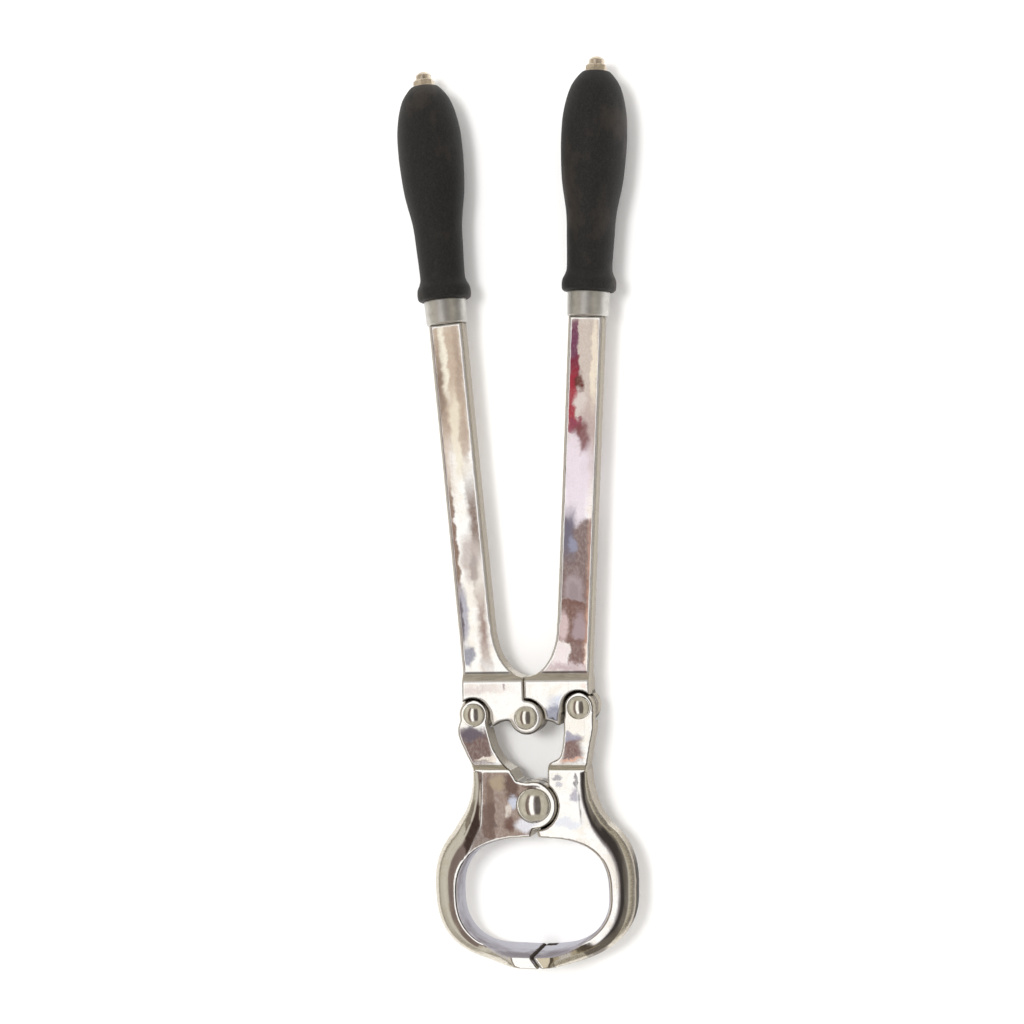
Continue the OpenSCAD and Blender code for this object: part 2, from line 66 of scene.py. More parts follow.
def make_camera():
    data = bpy.data.cameras.new("camera")
    cam = bpy.data.objects.new("camera", data)
    bpy.context.scene.collection.objects.link(cam)
    ahead = (LOOK_AT - CAMERA_AT).normalized()
    right = ahead.cross(Vector((0, 1, 0))).normalized()
    up = right.cross(ahead)
    turn = Matrix.Rotation(CAMERA_ROLL, 3, ahead)
    right, up = turn @ right, turn @ up
    cam.matrix_world = Matrix((right, up, -ahead)).transposed().to_4x4()
    cam.location = CAMERA_AT
    data.angle = CAMERA_ANGLE
    data.clip_start, data.clip_end = CAMERA_CLIP
    bpy.context.scene.camera = cam


make_camera()


# Shader helpers

class Shader:
    """A material or world with short names for the nodes that this script uses."""

    def __init__(self, owner):
        owner.use_nodes = True
        self.owner = owner
        self.nodes = owner.node_tree.nodes
        self.links = owner.node_tree.links

    def node(self, kind, **inputs):
        made = self.nodes.new("ShaderNode" + kind)
        for key, value in inputs.items():
            self.feed(made.inputs[key.replace("_", " ")], value)
        return made

    def feed(self, socket, value):
        if isinstance(value, bpy.types.NodeSocket):
            self.links.new(value, socket)
        elif isinstance(value, tuple) and len(value) == 3 and len(socket.default_value) == 4:
            socket.default_value = (*value, 1)
        else:
            socket.default_value = value

    def math(self, operation, a, b=0.0):
        made = self.nodes.new("ShaderNodeMath")
        made.operation = operation
        self.feed(made.inputs[0], a)
        self.feed(made.inputs[1], b)
        return made.outputs[0]

    def plus(self, a, b):
        return self.math("ADD", a, b)

    def minus(self, a, b):
        return self.math("SUBTRACT", a, b)

    def times(self, a, b):
        return self.math("MULTIPLY", a, b)

    def larger(self, a, b):
        return self.math("MAXIMUM", a, b)

    def absolute(self, value):
        return self.math("ABSOLUTE", value)

    def between(self, value, low, high):
        """0 at low, 1 at high, smooth between them."""
        made = self.nodes.new("ShaderNodeMapRange")
        made.interpolation_type = "SMOOTHSTEP"
        for key, number in (("Value", value), ("From Min", low), ("From Max", high)):
            self.feed(made.inputs[key], number)
        return made.outputs["Result"]

    def within(self, value, limits):
        """1 between two limits, each of which goes from outside to inside."""
        return self.times(self.between(value, *limits[0]), self.between(value, *limits[1]))

    def mix(self, share, a, b):
        """Colour a, or b where share is 1."""
        made = self.nodes.new("ShaderNodeMix")
        made.data_type = "RGBA"
        self.feed(made.inputs["Factor"], share)
        self.feed(made.inputs[6], a)
        self.feed(made.inputs[7], b)
        return made.outputs[2]

    def vector(self, operation, a, b=None):
        made = self.nodes.new("ShaderNodeVectorMath")
        made.operation = operation
        for socket, value in zip(made.inputs, (a, b)):
            if value is not None:
                self.feed(socket, value)
        return made.outputs["Value" if operation == "LENGTH" else "Vector"]

    def parts(self, vector):
        """The X, Y and Z of a vector."""
        return self.node("SeparateXYZ", Vector=vector).outputs

    def place(self, source, stretch, turn=0.0):
        """A position stretched and turned about Z."""
        return self.node("Mapping", Vector=source, Scale=stretch, Rotation=(0, 0, turn)).outputs["Vector"]

    def noise(self, where, scale, detail, roughness, distortion=0.0):
        made = self.node("TexNoise", Vector=where, Scale=scale, Detail=detail, Roughness=roughness,
                         Distortion=distortion)
        return made.outputs["Fac"]

    def stored(self, name):
        """A value that the mesh carries."""
        made = self.node("Attribute")
        made.attribute_name = name
        return made.outputs["Fac"]

    def bump(self, height, strength, distance, normal=None):
        made = self.node("Bump", Height=height, Strength=strength, Distance=distance)
        if normal:
            self.links.new(normal, made.inputs["Normal"])
        return made.outputs["Normal"]

    def surface(self, **inputs):
        """Sets sockets of the material's own shader."""
        shader = self.nodes["Principled BSDF"]
        for key, value in inputs.items():
            self.feed(shader.inputs[key.replace("_", " ")], value)


def material(name):
    return Shader(bpy.data.materials.new(name))


def darker(colour, share):
    return tuple(channel * share for channel in colour)


# Polished forgings: bright nickel with brown, red and blue tints, partly oxide films and partly painted
# reflections, worn clean along every edge

LAMP_LEVEL = 1.2
DISPLAY_GAMMA = 2.2


def seen(red, green, blue):
    """Base colour of a metal that shows this colour where it mirrors the lamp."""
    return tuple(channel ** DISPLAY_GAMMA / LAMP_LEVEL for channel in (red, green, blue))


NICKEL = (0.86, 0.85, 0.83)
CREAM = (0.83, 0.79, 0.73)
KHAKI = (0.74, 0.69, 0.6)

# Dirt and painted shade in corners and seams, painted shade on flanks that face right, and the painted dark
# band where a form turns away from the lamp
SOOT_AND_SHADE = (0.06, 0.05, 0.042)
PAINTED_RIGHT_SHADE = (0.3, 0.26, 0.21)
PAINTED_DARK_BAND = (0.1, 0.085, 0.08)

# Where a face counts as a flank, as facing right or down, or as a rim, by the Z, X and Y of its normal
FLANK_Z = (0.93, 0.8)
RIGHT_SHADE_X = (0.6, 0.85)
DOWN_Y = (-0.2, -0.55)
RIM_Z = ((0.995, 0.98), (0.6, 0.8))

# How near an edge the metal is worn bright, and how near an inner corner it gets painted shade
WORN_EDGE = (0.04, 0.16)
SHADED_CORNER = (0.1, 0.32)

# Oxide tints and painted reflections and highlights on each forging: shape, middle and half size in mm in
# its own frame, colour as seen, strength.
# A handle's frame starts at the foot of its bar, with Y up the bar; a jaw's starts at the jaw pin.
RIGHT_HANDLE_OXIDE_AND_REFLECTIONS = [
    ("soft", (0, 158), (9, 36), (0.8, 0.74, 0.7), 1.0),
    ("oval", (5.4, 166), (1.8, 26), (0.96, 0.91, 0.83), 0.9),
    ("soft", (4.6, 122), (4, 20), (0.76, 0.68, 0.66), 0.9),
    ("oval", (-2, 105), (8, 26), (0.93, 0.88, 0.92), 1.0),
    ("box", (-5.6, 176), (2.2, 12), (0.45, 0.25, 0.35), 1.0),
    ("box", (-5.8, 160), (2.8, 8), (0.5, 0.2, 0.27), 1.0),
    ("box", (-6, 146), (2.3, 14), (0.64, 0.23, 0.28), 1.0),
    ("oval", (-2.2, 155), (2.2, 5), (0.42, 0.24, 0.22), 1.0),
    ("oval", (-2, 145), (3, 6), (0.87, 0.82, 0.8), 0.95),
    ("box", (-4, 132), (3.6, 4), (0.58, 0.3, 0.36), 1.0),
    ("oval", (-0.5, 126), (4.6, 8), (0.5, 0.32, 0.32), 0.95),
    ("oval", (-4.5, 120), (3.6, 8), (0.93, 0.88, 0.91), 1.0),
    ("box", (0, 62), (10, 22), (0.51, 0.43, 0.42), 1.0),
    ("oval", (-2, 86), (5, 6), (0.93, 0.89, 0.92), 1.0),
    ("soft", (-6, 75), (3.4, 11), (0.46, 0.44, 0.5), 1.0),
    ("oval", (-3.2, 69), (2.6, 4), (0.6, 0.6, 0.68), 0.95),
    ("soft", (-1, 46), (9, 6), (0.47, 0.37, 0.35), 0.8),
    ("oval", (-1.5, 45), (5.4, 9), (0.7, 0.64, 0.65), 1.0),
    ("oval", (-1.5, 44), (3.2, 5.6), (0.6, 0.54, 0.55), 0.7),
    ("box", (0, 29), (9, 11), (0.5, 0.38, 0.35), 1.0),
    ("oval", (-6.6, 26), (3, 8), (0.88, 0.79, 0.79), 0.95),
    ("oval", (2.4, 25), (3.4, 8), (0.7, 0.62, 0.64), 0.9),
    ("box", (-7, 11), (3.6, 6.4), (0.96, 0.91, 0.91), 1.0),
    ("box", (1.4, 13), (4.4, 7), (0.52, 0.41, 0.39), 1.0),
    ("soft", (7.2, 36), (1, 26), (0.93, 0.74, 0.64), 0.9),
    ("soft", (-4, 4), (14, 2.4), (0.76, 0.66, 0.68), 0.9),
    ("oval", (-4, -14), (8, 5), (0.82, 0.85, 0.93), 0.7),
    ("oval", (-10, -20), (6, 4), (0.55, 0.56, 0.63), 0.9),
    ("oval", (-10, -24), (7, 1.6), (0.26, 0.24, 0.27), 0.9),
]
LEFT_HANDLE_OXIDE_AND_REFLECTIONS = [
    ("soft", (0, 160), (8, 34), (0.78, 0.7, 0.62), 1.0),
    ("oval", (-2.4, 172), (2, 22), (0.98, 0.95, 0.88), 1.0),
    ("oval", (1, 130), (3.4, 22), (0.96, 0.92, 0.84), 0.9),
    ("soft", (-6, 156), (1.8, 17), (0.54, 0.46, 0.41), 1.0),
    ("soft", (5.6, 168), (1.6, 18), (0.66, 0.58, 0.52), 0.8),
    ("oval", (4.6, 128), (2.4, 12), (0.74, 0.66, 0.6), 0.8),
    ("soft", (-6, 116), (2, 14), (0.86, 0.78, 0.72), 0.8),
    ("box", (-6.8, 74), (2, 30), (0.55, 0.45, 0.39), 1.0),
    ("soft", (6, 84), (2.6, 18), (0.52, 0.44, 0.4), 1.0),
    ("oval", (1.6, 64), (5, 12), (0.78, 0.73, 0.71), 0.9),
    ("oval", (3, 58), (2, 8), (0.66, 0.62, 0.6), 0.7),
    ("oval", (-5, 34), (3, 14), (0.7, 0.69, 0.74), 0.95),
    ("oval", (-6.4, 30), (1.4, 12), (0.42, 0.38, 0.4), 0.9),
    ("oval", (-4.4, 12), (3.4, 5), (0.55, 0.55, 0.61), 0.9),
    ("soft", (5.2, 26), (2, 17), (0.6, 0.5, 0.46), 1.0),
    ("oval", (14, -5), (1, 3), (0.55, 0.47, 0.52), 0.8),
    ("soft", (-4, -6), (15, 2), (0.86, 0.79, 0.77), 0.7),
    ("oval", (-12, -17), (4, 3), (0.82, 0.82, 0.84), 0.7),
]
LEFT_JAW_OXIDE_AND_REFLECTIONS = [
    ("soft", (-31, 31), (9, 9), (0.47, 0.38, 0.36), 1.0),
    ("oval", (-33, 38), (7, 4), (0.42, 0.39, 0.43), 0.9),
    ("oval", (-24, 24.4), (7, 1.2), (0.97, 0.93, 0.88), 0.9),
    ("box", (-14, 1), (14, 18.5), (0.6, 0.52, 0.48), 1.0),
    ("oval", (-24, 2), (2.2, 14), (0.5, 0.42, 0.38), 0.9),
    ("oval", (-12, 10), (4, 6.5), (0.42, 0.34, 0.31), 0.95),
    ("oval", (-19.7, 11.9), (4, 3.4), (0.7, 0.63, 0.54), 0.9),
    ("oval", (-11, 1.5), (2.4, 4), (0.83, 0.85, 0.91), 0.95),
    ("oval", (-14, -3.5), (2, 4.5), (0.9, 0.86, 0.82), 0.9),
    ("oval", (-13, -10), (3, 4.4), (0.44, 0.34, 0.31), 0.95),
    ("oval", (-4, -10), (6, 4.5), (0.93, 0.93, 0.96), 0.95),
    ("oval", (-22, -11), (2.6, 2), (0.45, 0.4, 0.38), 0.9),
    ("oval", (3, 10.8), (8, 1.6), (0.35, 0.3, 0.28), 0.9),
    ("box", (-9, -84.3), (9, 0.7), (0.4, 0.33, 0.3), 0.9),
    ("box", (-30, -21), (8.5, 22), (0.46, 0.38, 0.35), 0.9),
]
RIGHT_JAW_OXIDE_AND_REFLECTIONS = [
    ("soft", (21, 29.5), (5.4, 6), (0.5, 0.39, 0.37), 1.0),
    ("oval", (21, 36), (5.4, 2.6), (0.64, 0.63, 0.7), 0.9),
    ("box", (20.5, 24.3), (5, 0.6), (0.93, 0.72, 0.62), 0.9),
    ("oval", (12.9, 15.5), (2.8, 1.6), (0.58, 0.57, 0.61), 0.8),
    ("oval", (14, 11.5), (2, 1.4), (0.72, 0.72, 0.77), 0.7),
    ("oval", (22.4, 5.4), (2.6, 3.2), (0.62, 0.6, 0.68), 0.75),
    ("oval", (23.4, 13), (0.7, 5), (0.4, 0.38, 0.4), 0.8),
    ("oval", (18, -9), (8, 2.2), (0.87, 0.89, 0.95), 0.6),
]

# Softness of an oval's edge as a share of its size, and of a box's edge in mm
OVAL_SOFTNESS = 0.4
BOX_SOFTNESS = {"box": 0.7, "soft": 2.4}

# How far the patches' outlines wander, in mm, and how much of a patch its worn places lose
PATCH_WANDER = (5, 9, 0)
PATCH_LOSS = 0.16


def oxide_and_reflection_patch(steel, ragged, whole, colour, shape, at, size, tint, strength):
    """Tints the metal inside one shape; the rows are partly oxide tints, partly painted reflections and
    highlights. whole says how unworn the patch is.
    """
    off = steel.vector("SUBTRACT", ragged, (*at, 0))
    off = steel.vector("ABSOLUTE", steel.vector("MULTIPLY", off, (1 / size[0], 1 / size[1], 0)))
    if shape == "oval":
        far, softness = steel.vector("LENGTH", off), OVAL_SOFTNESS
    else:
        across, along, _ = steel.parts(off)
        far, softness = steel.larger(across, along), BOX_SOFTNESS[shape] / min(size)
    inside = steel.between(far, 1 + softness, 1 - softness)
    return steel.mix(steel.times(steel.times(inside, strength), whole), colour, seen(*tint))


def with_oxide_and_reflections(steel, own, clouds, oxide_and_reflection_rows):
    """Clouds of nickel and cream under the oxide tints and painted reflections, which have ragged outlines
    and thin places.
    """
    warp = steel.node("TexNoise", Vector=own, Scale=0.2, Detail=5.0, Roughness=0.54).outputs["Color"]
    shift = steel.vector("MULTIPLY", steel.vector("SUBTRACT", warp, (0.5, 0.5, 0.5)), PATCH_WANDER)
    ragged = steel.vector("ADD", own, shift)
    wear = steel.noise(steel.place(own, (1, 0.6, 1)), scale=0.8, detail=6, roughness=0.74)
    whole = steel.plus(steel.times(steel.between(wear, 0.36, 0.7), -PATCH_LOSS), 1.0)
    colour = steel.mix(steel.between(clouds, 0.42, 0.62), NICKEL, CREAM)
    for row in oxide_and_reflection_rows:
        colour = oxide_and_reflection_patch(steel, ragged, whole, colour, *row)
    return colour


def streaked_khaki(steel, own):
    streaks = steel.noise(steel.place(own, (0.1, 1.6, 1)), scale=1.1, detail=4, roughness=0.6)
    return steel.mix(steel.between(streaks, 0.35, 0.65), darker(KHAKI, 0.72), KHAKI)


# Ring of the jaws, about the jaw pin, in mm: its bore, how far the wall reaches, and the ring's tones, with
# the wall's painted reflection grey and the outer edge's painted shade

RING_MIDDLE = (-2.2, -47.8)
RING_HALF = (41, 30.5)
WALL_REACH = (1.13, 1.1)
WALL_FROM = (-17.5, -19)
WALL_REFLECTION_GREY = (0.57, 0.565, 0.625)
WALL_DARK = (0.27, 0.25, 0.27)
WALL_FADE = (46, 29)
WALL_SMEAR = 30
SHADE_EDGE_FROM = (-14, -34)
SHADE = (0.09, 0.085, 0.08)

# Where the ring's front gets the painted dark band and its outer edge painted shade, by the X of its normal
DARK_BAND_X = ((0.14, 0.24), (0.46, 0.4))
SHADE_EDGE_X = (0.84, 0.94)


def inner_wall(steel, own):
    """Where the wall inside the ring is, and its bluish grey, a painted reflection, darker near the front
    rim.
    """
    off = steel.vector("SUBTRACT", own, (*RING_MIDDLE, 0))
    far = steel.vector("LENGTH", steel.vector("MULTIPLY", off, (1 / RING_HALF[0], 1 / RING_HALF[1], 0)))
    _, y, z = steel.parts(own)
    smears = steel.noise(steel.place(own, (1, 1, 1.6)), scale=0.1, detail=5, roughness=0.62)
    level = steel.plus(z, steel.times(smears, WALL_SMEAR))
    tone = steel.mix(steel.between(level, *WALL_FADE), WALL_DARK, WALL_REFLECTION_GREY)
    return steel.times(steel.between(far, *WALL_REACH), steel.between(y, *WALL_FROM)), tone


# Seam where the tips meet: its upper end at the wall, its turn, and how far painted shade and the khaki flat
# reach

SEAM_AT = (-1.8, -78.3)
SEAM_TURN = math.radians(36)
SEAM_SHADE = (1.5, 0.9)
SEAM_SHADE_WANDER = 3
WALL_BAND = (2.5, 1.2)
REAR_HEIGHT = (8, 6.4)
REAR_MIDDLE = 3.2
REAR_HALF = (4.8, 3.6)
FLAT_FROM = (1.7, 2.3)
FLAT_TOP = (6, 4)
TIP_KHAKI = (0.52, 0.46, 0.35)


def seam_flat_and_shade(steel, own, flank, colour):
    """Khaki flat right of the seam, and black painted shade in the seam and on the wall's rear edge beside
    it.
    """
    x, y, z = steel.parts(own)
    x, y = steel.minus(x, SEAM_AT[0]), steel.minus(y, SEAM_AT[1])
    across = steel.plus(steel.times(x, math.cos(SEAM_TURN)), steel.times(y, math.sin(SEAM_TURN)))
    front = steel.times(steel.between(flank, 0.5, 0.2), steel.between(y, *FLAT_TOP))
    colour = steel.mix(steel.times(front, steel.between(across, *FLAT_FROM)), colour, TIP_KHAKI)
    grain = steel.noise(own, scale=0.55, detail=4, roughness=0.65)
    ragged = steel.times(steel.minus(grain, 0.5), SEAM_SHADE_WANDER)
    seam = steel.between(steel.plus(steel.absolute(across), ragged), *SEAM_SHADE)
    rear = steel.between(steel.plus(z, steel.times(ragged, 2)), *REAR_HEIGHT)
    rear = steel.times(rear, steel.between(steel.absolute(steel.minus(x, REAR_MIDDLE)), *REAR_HALF))
    # painted shade in the seam and on the wall's rear edge
    seam_shade = steel.times(steel.larger(seam, rear), steel.between(steel.absolute(y), *WALL_BAND))
    return steel.mix(seam_shade, colour, SOOT_AND_SHADE), seam_shade


def ring_shades(steel, own, facing, flank, colour):
    """Painted dark band, painted shade on the outer edge, painted reflection grey on the wall, painted shade
    at the seam, and where all that is dull.
    """
    # painted dark band: a dark reflection painted on the ring's front
    dark_band = steel.within(facing, DARK_BAND_X)
    colour = steel.mix(steel.times(dark_band, 0.75), colour, PAINTED_DARK_BAND)
    inside, tone = inner_wall(steel, own)
    # painted shade on the ring's outer edge that faces right
    edge = steel.times(steel.between(facing, *SHADE_EDGE_X), steel.minus(1, inside))
    edge = steel.times(edge, steel.between(steel.parts(own)["Y"], *SHADE_EDGE_FROM))
    colour = steel.mix(edge, colour, SHADE)
    # painted reflection grey on the wall inside the ring
    wall = steel.times(inside, flank)
    colour = steel.mix(wall, colour, tone)
    colour, seam_shade = seam_flat_and_shade(steel, own, flank, colour)
    return colour, steel.larger(steel.larger(wall, seam_shade), steel.times(edge, 0.8))


def dirt_and_corner_shade(steel, own, corner_shade, colour):
    """Black specks, painted shade in the corners and a fine grain."""
    specks = steel.noise(own, scale=0.9, detail=3, roughness=0.7)
    fine = steel.noise(steel.place(own, (0.3, 1, 1)), scale=4, detail=4, roughness=0.7)
    # the corner mask paints shade into inner corners
    for mask, share in ((steel.between(specks, 0.66, 0.78), 0.5),
                        (steel.between(steel.stored("corner"), *SHADED_CORNER), corner_shade),
                        (steel.between(fine, 0.4, 0.75), 0.14)):
        colour = steel.mix(steel.times(mask, share), colour, SOOT_AND_SHADE)
    return colour


def polish(steel, coords, clouds, flank, rim):
    """Roughness and surface of a wiped and scratched forging; its flanks and rims are duller."""
    scratch = steel.noise(steel.place(coords, (60, 1.2, 60), turn=0.12), scale=28, detail=2, roughness=0.5)
    wiped = steel.noise(steel.place(coords, (1, 26, 1), turn=0.1), scale=60, detail=3, roughness=0.6)
    waves = steel.noise(steel.place(coords, (1, 0.45, 1)), scale=62, detail=2, roughness=0.4, distortion=0.3)
    rough = 0.1
    for mask, more in ((steel.between(clouds, 0.35, 0.7), 0.07), (steel.between(scratch, 0.6, 0.75), 0.1),
                       (flank, 0.1), (rim, 0.35)):
        rough = steel.plus(rough, steel.times(mask, more))
    normal = steel.bump(waves, 0.4, 0.9 * MM)
    normal = steel.bump(steel.plus(scratch, steel.times(wiped, 0.4)), 0.1, 0.06 * MM, normal)
    return rough, normal


def forged_plate(name, origin, turn, oxide_and_reflection_rows, corner_shade, ring=False):
    """origin and turn place the frame of the oxide tints and painted reflections. The mesh says how near
    each point is to an edge or corner.
    """
    steel = material(name)
    coords = steel.node("TexCoord").outputs
    own = steel.node("Mapping", Vector=coords["Object"], Location=origin, Rotation=(0, 0, turn),
                     Scale=(MM, MM, MM))
    own.vector_type = "TEXTURE"
    own = own.outputs["Vector"]
    facing, rise, up = steel.parts(coords["Normal"])
    slope = steel.absolute(up)
    flank = steel.between(slope, *FLANK_Z)
    clouds = steel.noise(own, scale=0.07, detail=6, roughness=0.6, distortion=0.8)
    colour = with_oxide_and_reflections(steel, own, clouds, oxide_and_reflection_rows)
    colour = steel.mix(steel.between(steel.stored("edge"), *WORN_EDGE), colour, NICKEL)
    colour = steel.mix(flank, colour, streaked_khaki(steel, own))
    # painted shade on flanks that face right, which are also made less metallic
    painted_dull = steel.times(steel.between(facing, *RIGHT_SHADE_X), 0.6)
    colour = steel.mix(painted_dull, colour, PAINTED_RIGHT_SHADE)
    if ring:
        rim = 0.0
        colour, ring_painted = ring_shades(steel, own, facing, flank, colour)
        painted_dull = steel.larger(painted_dull, ring_painted)
    else:
        rim = steel.within(slope, RIM_Z)
        # painted shade on faces that turn down, under the plates
        colour = steel.mix(steel.times(steel.between(rise, *DOWN_Y), 0.85), colour, PAINTED_DARK_BAND)
    rough, normal = polish(steel, coords["Object"], clouds, flank, rim)
    steel.surface(Base_Color=dirt_and_corner_shade(steel, own, corner_shade, colour), Metallic=steel.minus(1, painted_dull),
                  Roughness=rough, Normal=normal, Specular_IOR_Level=0.0)
    return steel.owner


# Other materials

def object_coords(shader):
    return shader.node("TexCoord").outputs["Object"]


def polished_head():
    """Domed pin heads: greyish khaki nickel with small dark pits."""
    steel = material("polished_pins")
    coords = object_coords(steel)
    clouds = steel.noise(coords, scale=190, detail=5, roughness=0.62)
    colour = steel.mix(steel.between(clouds, 0.38, 0.62), (0.78, 0.76, 0.69), (0.9, 0.88, 0.83))
    pits = steel.noise(coords, scale=1100, detail=3, roughness=0.7)
    colour = steel.mix(steel.times(steel.between(pits, 0.64, 0.74), 0.7), colour, SOOT_AND_SHADE)
    rough = steel.plus(steel.times(clouds, 0.12), 0.05)
    normal = steel.bump(steel.noise(coords, scale=130, detail=2, roughness=0.4), 0.25, 0.6 * MM)
    steel.surface(Base_Color=colour, Metallic=1.0, Roughness=rough, Normal=normal)
    return steel.owner


def turned_steel(name, colour, roughness, ring_pitch):
    """Turned metal with fine rings along its own axis, which lies nearly along Y."""
    steel = material(name)
    coords = object_coords(steel)
    rings = steel.noise(steel.place(coords, (0.04, 1, 0.04)), 1 / (ring_pitch * MM), detail=3, roughness=0.6)
    blotches = steel.noise(coords, scale=160, detail=4, roughness=0.6)
    tone = steel.mix(steel.between(blotches, 0.35, 0.7), darker(colour, 0.8), colour)
    rough = steel.plus(steel.times(rings, 0.2), roughness - 0.1)
    steel.surface(Base_Color=tone, Metallic=1.0, Roughness=rough, Normal=steel.bump(rings, 0.25, 0.1 * MM))
    return steel.owner


def mottled_metal(name, colour, roughness):
    """Small nuts and washers: mottled, a little rough."""
    steel = material(name)
    blotches = steel.noise(object_coords(steel), scale=320, detail=5, roughness=0.65)
    tone = steel.mix(steel.between(blotches, 0.35, 0.65), darker(colour, 0.72), colour)
    rough = steel.plus(steel.times(blotches, 0.24), roughness - 0.12)
    steel.surface(Base_Color=tone, Metallic=1.0, Roughness=rough, Normal=steel.bump(blotches, 0.2, 0.2 * MM))
    return steel.owner


def ebonised_wood():
    """Black stained wood, matt, with pores, pale dust specks and brown worn places."""
    wood = material("ebonised_wood")
    coords = object_coords(wood)
    pores = wood.noise(coords, scale=1300, detail=5, roughness=0.7)
    grain = wood.noise(wood.place(coords, (1, 0.25, 1)), scale=420, detail=4, roughness=0.6)
    worn = wood.noise(wood.place(coords, (1, 0.6, 1)), scale=40, detail=5, roughness=0.62)
    dust = wood.noise(coords, scale=2100, detail=2, roughness=0.6)
    colour = wood.mix(wood.between(pores, 0.4, 0.66), (0.0042, 0.0042, 0.0042), (0.0145, 0.0145, 0.0143))
    colour = wood.mix(wood.times(wood.between(worn, 0.48, 0.66), 0.6), colour, (0.032, 0.022, 0.016))
    colour = wood.mix(wood.times(wood.between(dust, 0.68, 0.76), 0.5), colour, (0.11, 0.105, 0.1))
    rough = wood.minus(0.66, wood.times(wood.between(worn, 0.5, 0.7), 0.12))
    normal = wood.bump(pores, 0.5, 0.25 * MM)
    normal = wood.bump(grain, 0.12, 0.25 * MM, normal)
    wood.surface(Base_Color=colour, Roughness=rough, Normal=normal)
    return wood.owner


# Lengths on the handles' axes, as in the solids, in mm
BAR_LEN = 190
FERRULE_LEN = 13.2
GRIP_LEN = 115.4


def centre(node):
    low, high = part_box(node)
    return (low + high) / 2


def along_handle(side):
    """A point on the handle's axis and the axis' direction, from ferrule and cap nut."""
    foot, top = centre(side + "_ferrule"), centre(side + "_cap_nut")
    return foot, (top - foot).normalized()


def handle_plate(side, oxide_and_reflection_rows):
    foot, axis = along_handle(side)
    origin = foot - axis * (BAR_LEN + FERRULE_LEN / 2) * MM
    turn = -math.atan2(axis.x, axis.y)
    # strong painted shade in the handles' inner corners
    return forged_plate(side + "_handle_plate", (origin.x, origin.y, 0), turn, oxide_and_reflection_rows, corner_shade=0.8)


def jaw_plate(side, oxide_and_reflection_rows):
    pivot = centre("jaw_pin")
    # faint painted shade in the jaws' inner corners
    return forged_plate(side + "_jaw_plate", (pivot.x, pivot.y, 0), 0, oxide_and_reflection_rows, corner_shade=0.15, ring=True)


# Materials by node, or by material slot
FINISHES = {
    "left_handle": handle_plate("left", LEFT_HANDLE_OXIDE_AND_REFLECTIONS),
    "right_handle": handle_plate("right", RIGHT_HANDLE_OXIDE_AND_REFLECTIONS),
    "left_jaw": jaw_plate("left", LEFT_JAW_OXIDE_AND_REFLECTIONS),
    "right_jaw": jaw_plate("right", RIGHT_JAW_OXIDE_AND_REFLECTIONS),
    "pin": polished_head(),
    "grip": ebonised_wood(),
    "ferrule": turned_steel("satin_sleeve", (0.7, 0.69, 0.66), roughness=0.46, ring_pitch=0.35),
    "cap_nut": mottled_metal("dull_brass", (0.8, 0.7, 0.57), roughness=0.4),
    "hardware": mottled_metal("bright_zinc", (0.62, 0.61, 0.59), roughness=0.34),
}


# Pieces

def add_piece(name, mesh, node):
    """A mesh in the row frame stands for a CAD node, moves with its body and takes its finish."""
    obj = bpy.data.objects.new(name, mesh)
    bpy.context.scene.collection.objects.link(obj)
    mesh.polygons.foreach_set("use_smooth", [True] * len(mesh.polygons))
    mesh.materials.clear()
    mesh.materials.append(FINISHES.get(node) or FINISHES[SLOTS[node]])
    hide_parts(node)
    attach(obj, BODIES[node])
    return obj


# Forgings: the solid's surface in fine even quads, its edges rounded and its faces a little wavy

VOXEL = 0.6 * MM
WELD = 0.001 * MM
EDGE_ROUNDS = 4
SOFT_ROUNDS = 16
MARK_ROUNDS = 4
EDGE_MOVE = 0.15 * MM
WAVE_DEPTH = 0.1 * MM
WAVE_LENGTH = 26 * MM
MID_HEIGHT = centre("left_jaw").z


def welded_copy(node):
    source = frame["nodes"][node]
    mesh = source.data.copy()
    mesh.transform(source.matrix_world)
    bm = bmesh.new()
    bm.from_mesh(mesh)
    bmesh.ops.remove_doubles(bm, verts=bm.verts, dist=WELD)
    bm.to_mesh(mesh)
    bm.free()
    obj = bpy.data.objects.new(node + "_guide", mesh)
    bpy.context.scene.collection.objects.link(obj)
    return obj


def fine_mesh(guide):
    """Remeshes a copy of the guide in even quads that lie on the guide's surface."""
    shell = bpy.data.objects.new("shell", guide.data)
    bpy.context.scene.collection.objects.link(shell)
    even = shell.modifiers.new("even", "REMESH")
    even.mode = "VOXEL"
    even.voxel_size = VOXEL
    onto = shell.modifiers.new("onto", "SHRINKWRAP")
    onto.target = guide
    onto.wrap_method = "NEAREST_SURFACEPOINT"
    graph = bpy.context.evaluated_depsgraph_get()
    mesh = bpy.data.meshes.new_from_object(shell.evaluated_get(graph))
    bpy.data.objects.remove(shell)
    return mesh


def read_points(mesh):
    points = np.empty(len(mesh.vertices) * 3)
    mesh.vertices.foreach_get("co", points)
    edges = np.empty(len(mesh.edges) * 2, dtype=np.int64)
    mesh.edges.foreach_get("vertices", edges)
    return points.reshape(-1, 3), edges.reshape(-1, 2)


def write_points(mesh, points):
    mesh.vertices.foreach_set("co", points.ravel())
    mesh.update()


def read_normals(mesh):
    normals = np.empty(len(mesh.vertices) * 3)
    mesh.vertices.foreach_get("normal", normals)
    return normals.reshape(-1, 3)


